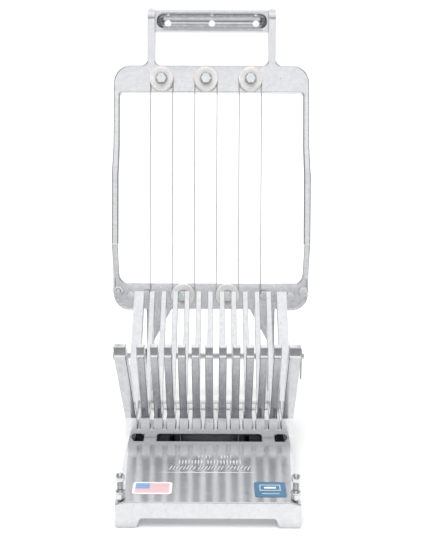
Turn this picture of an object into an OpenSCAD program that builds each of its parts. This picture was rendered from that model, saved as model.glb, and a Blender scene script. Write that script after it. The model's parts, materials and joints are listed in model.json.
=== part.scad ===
// Lever-frame wire egg slicer: a cast base with a slotted V cradle, and a hinged
// frame strung with one zig-zag cutting wire that drops through the slots.
// Millimetres. +X right, +Y back, +Z up; origin at the middle of the footprint, on the table.

/* [Cutting layout] */
// Spacing of the slots in the cradle
slot_pitch = 9.525; // [9:0.005:9.6]
// Diameter of the cutting wire
wire_d = 0.8; // [0.5:0.1:1]
// Lean of the open frame behind the vertical, in degrees
open_lean = 10; // [6:1:12]

/* [Base] */
// Half the width of the base
base_half_w = 59.8; // [59:0.1:61]
// Height of the deck's top face
deck_z = 17.9; // [17:0.1:19]
// Thickness of the deck
deck_t = 5; // [4:0.5:6]
// Reach of the deck in front of the cradle's vertex
deck_reach = 114.2; // [110:0.2:118]
// Clear height of the arch in the front apron
arch_h = 6.2; // [4:0.2:8]
// Width of each front foot
foot_w = 15.4; // [12:0.2:18]
// Height of the side rails that run back to the hinge
rail_z = 12; // [9:0.5:13]

/* [Cradle] */
// Width of a front finger
front_finger_w = 5.4; // [4.6:0.1:5.4]
// Width of a rear finger
rear_finger_w = 4.2; // [3.8:0.1:5]
// Width of the slots where they run through the spine
spine_slot_w = 2.9; // [2:0.1:3.6]
// Height of the slot bottoms in the spine
slot_floor_z = 24.4; // [23:0.1:25.5]
// Height of the top of the front fingers
front_top_z = 100.4; // [95:0.1:104]
// Height of the top of the rear fingers
rear_top_z = 107.7; // [100:0.1:110]
// Thickness of a finger, square to its length
finger_t = 8.5; // [7:0.1:9]

/* [Stop posts] */
// Distance of a stop post from the middle
post_x = 56.6; // [55:0.1:57]
// Height of the top of the stop posts
post_top_z = 35.3; // [34:0.1:35.4]

/* [Hinge] */
// Distance of the hinge axis behind the cradle's vertex
hinge_back = 136.9; // [136:0.1:138]
// Height of the hinge axis
hinge_z = 37.7; // [37:0.1:38.4]
// Diameter of the hinge pin
pin_d = 5; // [4:0.5:6]
// Radial clearance of a running fit
run_gap = 0.06; // [0.03:0.01:0.1]

/* [Frame] */
// Half the width of the frame across its upper bar
frame_half_w = 84.2; // [83:0.1:85]
// Distance from the hinge axis to the lower edge of the upper bar
bar_low = 229.5; // [228:0.5:230]
// Height of the upper bar, along the frame
bar_h = 23; // [22:0.5:24]
// Thickness of the frame at the upper bar
frame_t = 9.7; // [9:0.1:10]
// Distance from the hinge axis to the centre of the grip
grip_u = 291.8; // [288:0.2:293]
// Half the clear width between the handle's uprights
grip_half_w = 49.2; // [47:0.2:50]
// Thickness of the handle's uprights
upright_t = 5.8; // [5:0.1:6]
// Outer radius of the half-round grip
grip_r = 9; // [8.8:0.1:10]

/* [Rollers] */
// Diameter of a nylon wire roller
roller_d = 20.2; // [19.9:0.1:20.6]
// Thickness of a roller
roller_t = 8; // [7:0.2:8]
// Distance from the hinge axis to the upper rollers' bolts
upper_roller_u = 240.2; // [240:0.1:241]
// Distance from the hinge axis to the lower rollers' bolts
lower_roller_u = 54.5; // [54:0.1:56]
// Diameter of the roller bolts' shanks
roller_bolt_d = 5; // [4:0.5:5]

/* [Hidden] */
// Fineness of round shapes
$fn = 48;
// Places across the width: fingers at whole pitches, slots at half pitches
half_pitch = slot_pitch / 2;
wire_xs = [for (i = [0 : 5]) (4 * i - 11) * half_pitch];
upper_roller_xs = [for (i = [0 : 2]) (8 * i - 9) * half_pitch];
lower_roller_xs = [for (i = [0 : 1]) (8 * i - 5) * half_pitch];
clamp_side = half_pitch / 1.65;
clamp_xs = [wire_xs[0] - clamp_side, wire_xs[5] + clamp_side];
finger_count = 5;
slot_count = 12;
// Levels in front of the hinge axis, square to the frame
wire_w = 14.2;
lap_w = 4.7;
mid_rail_w = 7;
roller_back_w = wire_w - roller_t / 2;
washer_gap = 0.3;
washer_t = 0.8;
washer_w = wire_w + roller_t / 2 + washer_gap;
head_w = washer_w + washer_t;
head_h = 3.5;
nut_h = 3.4;
overlap = 0.2;
// Fasteners
hex_af = 8;
small_af = 6.6;
washer_d = 10;
roller_root_r = slot_pitch - wire_d / 2 - 0.3;
corner_x = 80.1;
corner_u = 57.8;
yoke_bolt_x = 69.1;
yoke_bolt_u = 54.2;
clamp_u = 55;
clamp_collar_h = wire_w - wire_d / 2 - 0.1 - frame_t;
// Frame outline
bar_high = bar_low + bar_h;
bar_corner_r = 15;
rail_in_w = 79.4;
rail_mid_half_w = 86.5;
rail_low_half_w = 85.3;
window_half_w = rail_low_half_w - 5.2;
kink_high_u = 183;
kink_low_u = 157.6;
step_u = 98.4;
yoke_low_u = 42;
yoke_high_u = 64.5;
yoke_half_w = 83.2;
yoke_corner_r = 14;
pad_rim = 1.5;
pad_in_x = 61;
inner_fillet_r = 8;
ear_h = 4.5;
bar_fillet_r = 3;
upright_fillet_r = 6;
grip_back_w = -0.5;
grip_front_w = 4;
grip_wall = 2.6;
grip_cap_r = 11;
grip_hole_d = 5.8;
grip_hole_xs = [-38.5, 0, 38.5];
// Hinge legs and lugs
leg_in_x = 49.5;
leg_out_x = 55.5;
gusset_in_x = 33.5;
gusset_low_u = 14;
eye_r = 7;
heel_r = 17;
heel_w = 3;
lug_in_x = 56.2;
lug_out_x = 61.5;
rail_in_x = 55.5;
cross_bar_y = 106.6;
pin_left_x = -86;
pin_right_x = 82;
clip_x = 79.8;
clip_r = 0.7;
clip_drop = 19;
hole_gap = 0.1;
// The cradle's side profile, from the vertex (y back, z up)
spine_y = -4;
spine_top_z = 33.3;
vee_y = 8;
vee_z = 32.7;
head_y = -45.1;
head_low_z = 94.6;
rear_tip_y = 90.5;
nose_r = 6;
rear_run = rear_tip_y - vee_y;
rear_rise = rear_top_z - vee_z;
rear_len = norm([rear_run, rear_rise]);
rear_back = [finger_t * rear_rise / rear_len, -finger_t * rear_run / rear_len];
front_lean = (head_y - spine_y) / (head_low_z - spine_top_z);
front_top_y = vee_y + (front_top_z - vee_z) * front_lean;
nose_turn = atan(-front_lean);
cradle_half_w = 62.2;
cradle_back_y = 16;
cheek_y = 58;
outer_in_x = 54.4;
outer_head_w = 8.4;
right_splay = 1.7;
left_splay = 4.2;
bay_back_y = 12;
bay_wall = 4;
centre_hole_x = 38.9;
side_hole_x = [49.2, 57.8];
under_arch_z = 20.2;
cradle_bolt_x = 25;
cradle_bolt_y = 2.5;
cheek_bolt_y = 46;
rail_bolt_x = (rail_in_x + lug_out_x) / 2;
stop_gap = 0.3;
// Whole-object limits that centre the footprint
open_dir = [sin(open_lean), cos(open_lean)];
handle_back_y = hinge_back + grip_u * open_dir[0] - grip_back_w * open_dir[1] + grip_cap_r;
vertex_y = (deck_reach - handle_back_y) / 2;
base_back_y = hinge_back + 10;
arch_half_w = base_half_w - foot_w;
arch_r = 2;
arch_slant = 2;
post_y = 5.7 - deck_reach;
label_t = 0.2;

// Side-view place of a point of the open frame, u up the frame and w in front of the hinge
function open_point(u, w) = [
    hinge_back + u * open_dir[0] - w * open_dir[1], hinge_z + u * open_dir[1] + w * open_dir[0]
];

// ---- helpers ----

// Places children measured from the cradle's vertex
module at_vertex() {
    translate([0, vertex_y, 0]) children();
}

// Places children drawn in the frame's own axes: x across, y up the frame, z out of its front
module on_arm() {
    at_vertex() translate([0, hinge_back, hinge_z]) rotate([90 - open_lean, 0, 0]) children();
}

// Extrudes a side view (back, up) along x, from x0 over a width
module from_side(x0, width) {
    translate([x0, 0, 0]) rotate([90, 0, 90]) linear_extrude(width) children();
}

// Extrudes a front view (across, up) along y, from y0 over a depth
module from_front(y0, depth) {
    translate([0, y0 + depth, 0]) rotate([90, 0, 0]) linear_extrude(depth) children();
}

module both_sides() {
    children();
    mirror([1, 0, 0]) children();
}

// A block between two corners
module block(low, high) {
    translate(low) cube(high - low);
}

// Rounded corner of radius r, filling the quarter away from the origin
module quarter_disc(r) {
    intersection() {
        circle(r);
        square(r);
    }
}

// The square corner that a rounding of radius r leaves behind, opening away from the origin
module corner_fillet(r) {
    difference() {
        square(r);
        translate([r, r]) circle(r);
    }
}

module hex_prism(af, h) {
    cylinder(d = af / cos(30), h = h, $fn = 6);
}

module ring(outer_d, inner_d, h) {
    difference() {
        cylinder(d = outer_d, h = h);
        translate([0, 0, -1]) cylinder(d = inner_d + hole_gap, h = h + 2);
    }
}

// A hex-headed bolt whose head sits on z = 0 and whose shank runs down by length
module hex_bolt(af, head, shank_d, length) {
    hex_prism(af, head);
    translate([0, 0, -length]) cylinder(d = shank_d, h = length + overlap);
}

module hex_nut(af, h, bore_d) {
    difference() {
        hex_prism(af, h);
        translate([0, 0, -1]) cylinder(d = bore_d + hole_gap, h = h + 2);
    }
}

// Points [x, y, heading] along an arc, from one angle to another
function arc(centre, r, from, to, count) = [
    for (i = [0 : count])
        let (a = from + (to - from) * i / count)
        [centre[0] + r * cos(a), centre[1] + r * sin(a), a + (to > from ? 90 : -90)]
];

// A wire bent in one plane, along a route of [x, y, heading]
module bent_wire(route, d) {
    sides = 8;
    rings = len(route);
    points = [
        for (p = route, k = [0 : sides - 1])
            let (a = 360 * (k + 0.5) / sides, out = d / 2 * cos(a))
            [p[0] + out * sin(p[2]), p[1] - out * cos(p[2]), d / 2 * sin(a)]
    ];
    walls = [
        for (i = [0 : rings - 2], k = [0 : sides - 1])
            let (next = (k + 1) % sides)
            [i * sides + k, (i + 1) * sides + k, (i + 1) * sides + next, i * sides + next]
    ];
    start_cap = [for (k = [0 : sides - 1]) k];
    end_cap = [for (k = [sides - 1 : -1 : 0]) (rings - 1) * sides + k];
    polyhedron(points, concat(walls, [start_cap, end_cap]));
}

// ---- base ----

module deck_and_skirts() {
    inner_x = base_half_w - 4;
    block([-base_half_w, -deck_reach, deck_z - deck_t], [base_half_w, bay_back_y, deck_z]);
    // apron across the front, over an arch with slanting ends and rounded corners
    from_front(-deck_reach, 5) difference() {
        translate([-base_half_w, 0]) square([2 * base_half_w, deck_z]);
        polygon([
            [-arch_half_w - arch_slant, -1], [-arch_half_w, arch_h - arch_r], [-arch_half_w + arch_r, arch_h],
            [arch_half_w - arch_r, arch_h], [arch_half_w, arch_h - arch_r], [arch_half_w + arch_slant, -1]
        ]);
        both_sides() translate([arch_half_w - arch_r, arch_h - arch_r]) circle(arch_r);
    }
    both_sides() {
        // side skirt and the foot under the cradle
        block([inner_x, -deck_reach, arch_h], [base_half_w, bay_back_y, deck_z]);
        block([inner_x, -deck_reach, 0], [base_half_w, foot_w - deck_reach, arch_h + 1]);
        block([inner_x, -16, 0], [base_half_w, bay_back_y, arch_h + 1]);
        // stiffening rib under the deck
        block([18, -deck_reach + 4, deck_z - deck_t - 4], [21, -16, deck_z - deck_t + 1]);
    }
    // walls of the bay under the cradle
    block([-base_half_w, bay_back_y, 0], [base_half_w, bay_back_y + bay_wall, deck_z]);
    block([-base_half_w, -19, arch_h], [base_half_w, -16, deck_z]);
    // floor of that bay, which the two bolts under the spine pass through
    block([-base_half_w + 1, -17, 4], [base_half_w - 1, bay_back_y + 1, 7]);
}

module side_rail() {
    // rail, with a foot under the hinge
    block([rail_in_x, bay_back_y, 3], [lug_out_x, base_back_y, rail_z]);
    block([rail_in_x, base_back_y - 22, 0], [lug_out_x, base_back_y, 4]);
    // hinge lug with a round top
    from_side(lug_in_x, lug_out_x - lug_in_x) {
        translate([hinge_back, hinge_z]) circle(eye_r);
        polygon([
            [hinge_back - 14, rail_z - 1], [hinge_back + 10, rail_z - 1],
            [hinge_back + eye_r, hinge_z], [hinge_back - eye_r, hinge_z]
        ]);
    }
    // pad that stops the heel of the hinge leg when the frame is fully open
    from_side(leg_in_x - 0.5, lug_in_x - leg_in_x + 1) polygon([
        [hinge_back - 15, rail_z - 2], [hinge_back - 7, rail_z - 2],
        open_point(-heel_r - 2, heel_w + stop_gap), open_point(-heel_r + 5, heel_w + stop_gap),
        [hinge_back - 11, hinge_z - heel_r + 5]
    ]);
}

module deck_side_bevel() {
    // shallow wedge off each long edge of the deck, widening towards the front corners
    translate([base_half_w, 0, deck_z]) rotate([0, 14, -3.2])
        block([-0.4, -deck_reach - 30, 0], [12, -8, 6]);
}

module base_casting() color("gainsboro") at_vertex() difference() {
    union() {
        deck_and_skirts();
        both_sides() side_rail();
        block([-rail_in_x - 1, cross_bar_y - 3.5, 0.8], [rail_in_x + 1, cross_bar_y + 3.5, 6.3]);
    }
    // openings in the deck under the cradle
    block([-centre_hole_x, -11, deck_z - deck_t - 1], [centre_hole_x, 8, deck_z + 1]);
    both_sides() {
        block([side_hole_x[0], -11, deck_z - deck_t - 1], [side_hole_x[1] - 2.4, 8, deck_z + 1]);
        // holes for the cradle's bolts and the stop screws
        translate([cradle_bolt_x, cradle_bolt_y, 0]) cylinder(d = 4 + hole_gap, h = 10);
        translate([rail_bolt_x, cheek_bolt_y, -1]) cylinder(d = 3 + hole_gap, h = rail_z + 2);
        translate([post_x, post_y, deck_z - 9]) cylinder(d = 3 + hole_gap, h = 12);
        deck_side_bevel();
        // running bore for the hinge pin
        translate([lug_in_x - 5, hinge_back, hinge_z]) rotate([0, 90, 0])
            cylinder(d = pin_d + 2 * run_gap, h = 20);
    }
}

// ---- cradle ----

module front_finger_side() {
    polygon(concat(
        [[spine_y, spine_top_z - 2], [vee_y, vee_z - 2], [vee_y, vee_z], [front_top_y, front_top_z]],
        [[head_y, front_top_z]],
        [for (p = arc([head_y + nose_r, head_low_z], nose_r, 180, 180 + nose_turn, 6)) [p[0], p[1]]],
        [[spine_y, spine_top_z]]
    ));
}

module rear_finger_side() {
    polygon([
        [vee_y - 2, vee_z - 4], [vee_y - 2, vee_z - 1], [vee_y, vee_z],
        [rear_tip_y, rear_top_z],
        [rear_tip_y, rear_top_z] + rear_back,
        [vee_y, vee_z] + rear_back
    ]);
}

module spine_side() {
    polygon([
        [spine_y, deck_z], [spine_y, spine_top_z], [vee_y, vee_z],
        [cradle_back_y, vee_z + (cradle_back_y - vee_y) * rear_rise / rear_run - 2.5],
        [cradle_back_y, deck_z]
    ]);
}

// One opening over the deck between two places across, with rounded upper corners
module arch_opening(from_x, to_x) {
    round_r = 2.2;
    translate([from_x, deck_z - 1]) square([to_x - from_x, under_arch_z - deck_z + 1 - round_r]);
    translate([from_x + round_r, deck_z - 1])
        square([to_x - from_x - 2 * round_r, under_arch_z - deck_z + 1]);
    for (x = [from_x + round_r, to_x - round_r])
        translate([x, under_arch_z - round_r]) circle(round_r);
}

// Arches between the feet under the spine, seen from the front
module under_arches() {
    arch_opening(-centre_hole_x, centre_hole_x);
    both_sides() arch_opening(side_hole_x[0], side_hole_x[1]);
}

module outer_fingers(splay) {
    // front outer finger, splayed towards its head
    intersection() {
        from_side(50, 18) front_finger_side();
        from_front(-60, 80) polygon([
            [outer_in_x, vee_z - 6], [cradle_half_w, vee_z - 6],
            [cradle_half_w + splay, front_top_z + 1], [cradle_half_w + splay - outer_head_w, front_top_z + 1]
        ]);
    }
    from_side(outer_in_x, 8) rear_finger_side();
    // cheek that carries the rear fingers down to the side rail
    from_side(rail_in_x + 0.5, 5) polygon([
        [vee_y, deck_z], [cradle_back_y + 0.3, deck_z], [cradle_back_y + 0.3, rail_z],
        [cheek_y, rail_z], [cheek_y, rail_z + 6],
        [cheek_y - 4, vee_z + (cheek_y - 4 - vee_y) * rear_rise / rear_run - 8],
        [vee_y, vee_z - 8]
    ]);
}

module finger_cradle() color("lightgray") at_vertex() difference() {
    union() {
        difference() {
            from_side(-cradle_half_w, 2 * cradle_half_w) spine_side();
            from_front(spine_y - 1, cradle_back_y - spine_y + 2) under_arches();
            for (i = [1 : slot_count]) {
                slot_x = (i - (slot_count + 1) / 2) * slot_pitch;
                block([slot_x - spine_slot_w / 2, spine_y - 1, slot_floor_z],
                      [slot_x + spine_slot_w / 2, cradle_back_y + 1, 60]);
            }
        }
        for (i = [-finger_count : finger_count]) {
            from_side(i * slot_pitch - front_finger_w / 2, front_finger_w) front_finger_side();
            from_side(i * slot_pitch - rear_finger_w / 2, rear_finger_w) rear_finger_side();
        }
        outer_fingers(right_splay);
        mirror([1, 0, 0]) outer_fingers(left_splay);
        // bosses for the bolts from below
        both_sides() translate([cradle_bolt_x, cradle_bolt_y, 7]) cylinder(d = 10, h = 15);
    }
    both_sides() {
        translate([cradle_bolt_x, cradle_bolt_y, 5]) cylinder(d = 4 + hole_gap, h = 13);
        translate([rail_bolt_x, cheek_bolt_y, rail_z - 1]) cylinder(d = 3 + hole_gap, h = 13);
    }
}

module cradle_bolts() color("silver") at_vertex() both_sides()
    translate([cradle_bolt_x, cradle_bolt_y, 4 - washer_t]) mirror([0, 0, 1]) hex_bolt(7, 2.2, 4, 13);

module cradle_washers() color("lightsteelblue") at_vertex() both_sides()
    translate([cradle_bolt_x, cradle_bolt_y, 4 - washer_t]) ring(9, 4, washer_t);

module cheek_bolts() color("silver") at_vertex() both_sides()
    translate([rail_bolt_x, cheek_bolt_y, 3]) mirror([0, 0, 1]) hex_bolt(5, 2, 3, 18);

// ---- stop posts ----

module stop_screws() color("silver") at_vertex() both_sides() translate([post_x, post_y, 0]) {
    thread_low = deck_z + 6.5;
    translate([0, 0, deck_z - 8]) cylinder(d = 3, h = 16);
    // coarse crests on the free stretch
    for (i = [0 : 2]) translate([0, 0, thread_low + 1.5 * i]) {
        cylinder(d1 = 3, d2 = 4.6, h = 0.75);
        translate([0, 0, 0.75]) cylinder(d1 = 4.6, d2 = 3, h = 0.75);
    }
    // domed head
    dome_r = 3;
    translate([0, 0, deck_z + 11]) cylinder(r1 = 1.5, r2 = dome_r, h = 1.6);
    translate([0, 0, deck_z + 12.6]) cylinder(r = dome_r, h = post_top_z - dome_r - deck_z - 12.6);
    intersection() {
        translate([0, 0, post_top_z - dome_r]) sphere(dome_r);
        translate([0, 0, post_top_z - dome_r]) cylinder(r = 2 * dome_r, h = dome_r);
    }
}

module stop_nuts() color("silver") at_vertex() both_sides()
    translate([post_x, post_y, deck_z]) rotate([0, 0, 15]) hex_nut(small_af - 0.8, 4, 3);

module stop_washers() color("lightsteelblue") at_vertex() both_sides()
    translate([post_x, post_y, deck_z + 4]) difference() {
        union() {
            cylinder(r = 3.2, h = 1);
            translate([0, 0, 1]) cylinder(r1 = 3.2, r2 = 2.2, h = 1.2);
        }
        translate([0, 0, -1]) cylinder(d = 3 + hole_gap, h = 5);
    }

// ---- labels ----

module label(centre, half) {
    corner_r = 2.4;
    at_vertex() translate([centre[0], centre[1], deck_z]) linear_extrude(label_t) {
        square(2 * [half[0] - corner_r, half[1]], center = true);
        square(2 * [half[0], half[1] - corner_r], center = true);
        for (x = [-1, 1], y = [-1, 1])
            translate([x * (half[0] - corner_r), y * (half[1] - corner_r)]) circle(corner_r);
    }
}

module left_label() color("mistyrose") label([-36.9, -93.2], [13, 9.1]);

module right_label() color("steelblue") label([40.8, -94.7], [10.4, 11.5]);

// ---- frame ----

module upper_bar_outline() {
    low_w = frame_half_w - bar_corner_r;
    translate([-frame_half_w, bar_low]) square([2 * frame_half_w, bar_h - bar_corner_r]);
    translate([-low_w, bar_low]) square([2 * low_w, bar_h]);
    both_sides() {
        translate([low_w, bar_high - bar_corner_r]) quarter_disc(bar_corner_r);
        // small rounding inside the window
        translate([rail_in_w + 0.1, bar_low + 0.1]) rotate(180) corner_fillet(bar_fillet_r);
        // flared feet of the handle's uprights
        translate([grip_half_w + upright_t - 0.1, bar_high - 0.1]) corner_fillet(upright_fillet_r);
        translate([grip_half_w + 0.1, bar_high - 0.1]) mirror([1, 0]) corner_fillet(upright_fillet_r);
    }
}

module rail_outline() {
    polygon([
        [frame_half_w, bar_low + 3], [frame_half_w + 0.5, kink_high_u], [rail_mid_half_w, kink_low_u],
        [rail_mid_half_w, step_u], [rail_low_half_w, 70], [rail_low_half_w, corner_u],
        [rail_low_half_w - 5.5, corner_u], [rail_low_half_w - 5, 72],
        [rail_mid_half_w - 4.9, step_u], [rail_mid_half_w - 5.7, step_u],
        [rail_mid_half_w - 5.7, kink_low_u], [rail_in_w + 0.2, kink_high_u],
        [rail_in_w, bar_low - 2], [rail_in_w, bar_low + 3]
    ]);
}

// Corner pad that the yoke is bolted to
module pad_outline() {
    r = yoke_corner_r;
    pad_x = yoke_half_w + pad_rim;
    pad_low = yoke_low_u - pad_rim;
    translate([pad_in_x, pad_low]) square([pad_x - r - pad_in_x, yoke_high_u - pad_low]);
    translate([pad_x - r - 1, pad_low + r]) square([r + 1, yoke_high_u - pad_low - r]);
    translate([pad_x - r, pad_low + r]) mirror([0, 1]) quarter_disc(r);
    // rounding inside the window
    translate([window_half_w, yoke_high_u - 0.1]) mirror([1, 0]) corner_fillet(inner_fillet_r);
}

// Side view of the material cut from the rail's front face
module rail_recess_side() {
    polygon([
        [kink_high_u, frame_t + 1], [kink_high_u, frame_t], [kink_low_u, mid_rail_w], [step_u, mid_rail_w],
        [step_u, lap_w], [corner_u - 20, lap_w], [corner_u - 20, frame_t + 1]
    ]);
}

module handle_upright() {
    top_u = grip_u + grip_cap_r - 0.3;
    intersection() {
        from_side(grip_half_w, upright_t) {
            polygon([
                [bar_high - 3, 0], [bar_high - 3, frame_t], [grip_u, grip_back_w + grip_cap_r - 0.2],
                [grip_u, grip_back_w - grip_cap_r + 0.2], [bar_high + 12, 0]
            ]);
            translate([grip_u, grip_back_w]) circle(grip_cap_r);
        }
        // rounded off at the top, seen from the front
        translate([grip_half_w, 0, -20]) linear_extrude(40) polygon([
            [-1, bar_high - 4], [upright_t + 1, bar_high - 4], [upright_t + 1, top_u - 4],
            [upright_t - 0.9, top_u - 0.9], [upright_t - 2, top_u], [2, top_u], [0.9, top_u - 0.9],
            [-1, top_u - 4]
        ]);
    }
}

// Half-round grip, open at the front
module grip() {
    from_side(-grip_half_w - 1, 2 * grip_half_w + 2) difference() {
        union() {
            translate([grip_u, grip_back_w]) circle(grip_r);
            translate([grip_u - grip_r, grip_back_w]) square([2 * grip_r, grip_front_w - grip_back_w]);
        }
        translate([grip_u - 20, grip_front_w]) square([40, 20]);
    }
}

module grip_hollow() {
    inner_r = grip_r - grip_wall;
    reach = grip_half_w - 2 - inner_r;
    translate([-reach, grip_u, grip_back_w]) rotate([0, 90, 0]) cylinder(r = inner_r, h = 2 * reach);
    translate([-reach, grip_u - inner_r, grip_back_w]) cube([2 * reach, 2 * inner_r, 20]);
    both_sides() translate([reach, grip_u, grip_back_w]) {
        sphere(inner_r);
        cylinder(r = inner_r, h = 20);
    }
}

module arm_frame() color("lightgray") on_arm() difference() {
    union() {
        linear_extrude(frame_t) {
            upper_bar_outline();
            both_sides() rail_outline();
        }
        linear_extrude(lap_w) both_sides() pad_outline();
        both_sides() handle_upright();
        grip();
    }
    from_side(-100, 200) rail_recess_side();
    grip_hollow();
    for (x = grip_hole_xs) translate([x, grip_u, -20]) cylinder(d = grip_hole_d, h = 40);
    // centre-punch mark beside the right roller
    translate([59.3, 241.4, frame_t - 0.5]) cylinder(d = 1.4, h = 1);
    for (x = upper_roller_xs) translate([x, upper_roller_u, -1])
        cylinder(d = roller_bolt_d + hole_gap, h = frame_t + 2);
    both_sides() {
        translate([corner_x, corner_u, -1]) cylinder(d = 4 + hole_gap, h = frame_t + 2);
        translate([yoke_bolt_x, yoke_bolt_u, -1]) cylinder(d = 4 + hole_gap, h = frame_t + 2);
    }
}

module yoke_outline() {
    r = yoke_corner_r;
    translate([-yoke_half_w + r, yoke_low_u]) square([2 * (yoke_half_w - r), yoke_high_u - yoke_low_u]);
    both_sides() {
        translate([yoke_half_w - r, yoke_low_u + r]) mirror([0, 1]) quarter_disc(r);
        translate([yoke_half_w - r - 1, yoke_low_u + r]) square([r + 1, yoke_high_u - yoke_low_u - r]);
        // ear around the outer bolt, in the curve of the window's corner
        intersection() {
            union() {
                translate([window_half_w - 0.1, yoke_high_u])
                    square([yoke_half_w - window_half_w + 0.1, ear_h]);
                translate([window_half_w, yoke_high_u - 0.1]) mirror([1, 0]) corner_fillet(inner_fillet_r);
            }
            translate([window_half_w - inner_fillet_r, yoke_high_u - 1])
                square([2 * inner_fillet_r, ear_h + 1]);
        }
    }
}

module hinge_leg() {
    // gusset under the bar, in the plane of the frame
    translate([0, 0, lap_w + 1]) linear_extrude(frame_t - lap_w - 1) polygon([
        [gusset_in_x, yoke_low_u + 1], [leg_in_x, gusset_low_u], [leg_out_x, gusset_low_u],
        [leg_out_x, yoke_low_u + 1]
    ]);
    // web that runs down to the eye, and the heel below it
    from_side(leg_in_x, leg_out_x - leg_in_x) {
        polygon([
            [0, -eye_r + 0.05], [yoke_low_u + 1, lap_w], [yoke_low_u + 1, frame_t],
            [gusset_low_u, frame_t], [0, eye_r - 0.05]
        ]);
        circle(eye_r);
        polygon([[0, -heel_w], [-heel_r, -heel_w], [-heel_r, heel_w], [0, heel_w]]);
    }
}

module hinge_yoke() color("darkgray") on_arm() difference() {
    union() {
        translate([0, 0, lap_w]) linear_extrude(frame_t - lap_w) yoke_outline();
        both_sides() hinge_leg();
    }
    both_sides() {
        translate([leg_in_x - 1, 0, 0]) rotate([0, 90, 0]) cylinder(d = pin_d + 2 * run_gap, h = 10);
        translate([corner_x, corner_u, -1]) cylinder(d = 4 + hole_gap, h = frame_t + 2);
        translate([yoke_bolt_x, yoke_bolt_u, -1]) cylinder(d = 4 + hole_gap, h = frame_t + 2);
    }
    for (x = lower_roller_xs) translate([x, lower_roller_u, 0])
        cylinder(d = roller_bolt_d + hole_gap, h = frame_t + 1);
    for (x = clamp_xs) translate([x, clamp_u, 0]) cylinder(d = 4 + hole_gap, h = frame_t + 1);
}

// ---- frame fasteners ----

// Left bolt is fitted from behind, right bolt from the front
module corner_bolts() color("silver") on_arm() {
    translate([corner_x, corner_u, frame_t]) hex_bolt(hex_af, head_h, 4, frame_t + nut_h + 1);
    translate([-corner_x, corner_u, 0]) mirror([0, 0, 1])
        hex_bolt(hex_af, head_h, 4, frame_t + nut_h + 1.5);
}

module corner_nuts() color("lightsteelblue") on_arm() {
    translate([corner_x, corner_u, -nut_h]) hex_nut(hex_af, nut_h, 4);
    translate([-corner_x, corner_u, frame_t]) {
        hex_nut(hex_af, nut_h, 4);
        ring(9.6, 4, 1);
    }
}

module yoke_bolts() color("silver") on_arm() both_sides()
    translate([yoke_bolt_x, yoke_bolt_u, frame_t]) hex_bolt(small_af, 3, 4, frame_t + 3.8);

module yoke_nuts() color("lightsteelblue") on_arm() both_sides()
    translate([yoke_bolt_x, yoke_bolt_u, -3]) hex_nut(small_af, 3, 4);

// Puts children at every roller, on the front face's level
module at_rollers() {
    for (x = upper_roller_xs) translate([x, upper_roller_u, 0]) children();
    for (x = lower_roller_xs) translate([x, lower_roller_u, 0]) children();
}

module roller_bolts() color("silver") on_arm() {
    for (x = upper_roller_xs) translate([x, upper_roller_u, head_w])
        hex_bolt(hex_af, head_h, roller_bolt_d, head_w + nut_h + 0.8);
    for (x = lower_roller_xs) translate([x, lower_roller_u, head_w])
        hex_bolt(hex_af, head_h, roller_bolt_d, head_w - lap_w + nut_h + 0.8);
}

module roller_spacers() color("lightsteelblue") on_arm() at_rollers()
    translate([0, 0, frame_t]) ring(8, roller_bolt_d, roller_back_w - frame_t - 0.1);

module roller_washers() color("lightsteelblue") on_arm() at_rollers()
    translate([0, 0, washer_w]) ring(washer_d, roller_bolt_d, washer_t);

module roller_nuts() color("silver") on_arm() {
    for (x = upper_roller_xs) translate([x, upper_roller_u, -nut_h]) hex_nut(hex_af, nut_h, roller_bolt_d);
    for (x = lower_roller_xs) translate([x, lower_roller_u, lap_w - nut_h])
        hex_nut(hex_af, nut_h, roller_bolt_d);
}

// ---- wire clamps ----

module at_clamps() {
    for (x = clamp_xs) translate([x, clamp_u, 0]) children();
}

module clamp_collars() color("lightsteelblue") on_arm() at_clamps()
    translate([0, 0, frame_t]) ring(7.4, 4, clamp_collar_h);

module clamp_washers() color("lightsteelblue") on_arm() at_clamps()
    translate([0, 0, wire_w + wire_d / 2 + 0.1]) ring(8.4, 4, washer_t);

module clamp_screws() color("silver") on_arm() at_clamps()
    translate([0, 0, wire_w + wire_d / 2 + 0.1 + washer_t])
        hex_bolt(small_af, 2.6, 4, wire_w + wire_d / 2 + washer_t - lap_w + 4);

module clamp_nuts() color("silver") on_arm() at_clamps()
    translate([0, 0, lap_w - 3]) hex_nut(small_af, 3, 4);

// ---- wire ----

module cutting_wire() color("gray") on_arm() translate([0, 0, wire_w]) {
    loop_turn = 250;
    route = concat(
        arc([clamp_xs[0], clamp_u], clamp_side, -loop_turn, 0, 9),
        [for (i = [0 : 2], p = concat(
            arc([upper_roller_xs[i], upper_roller_u], slot_pitch, 180, 0, 9),
            i < 2 ? arc([lower_roller_xs[i], lower_roller_u], slot_pitch, 180, 360, 9) : []
        )) p],
        arc([clamp_xs[1], clamp_u], clamp_side, 180, 180 + loop_turn, 9)
    );
    bent_wire(route, wire_d);
}

// ---- rollers ----

module roller(x, u) {
    groove_half = wire_d / 2 + 0.35;
    color("oldlace") on_arm() translate([x, u, wire_w]) rotate_extrude() polygon([
        [roller_bolt_d / 2 + run_gap, -roller_t / 2], [roller_d / 2 - 0.6, -roller_t / 2],
        [roller_d / 2, -roller_t / 2 + 0.6], [roller_d / 2, -groove_half - 0.6],
        [roller_root_r, -groove_half], [roller_root_r, groove_half],
        [roller_d / 2, groove_half + 0.6], [roller_d / 2, roller_t / 2 - 0.6],
        [roller_d / 2 - 0.6, roller_t / 2], [roller_bolt_d / 2 + run_gap, roller_t / 2]
    ]);
}

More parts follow.
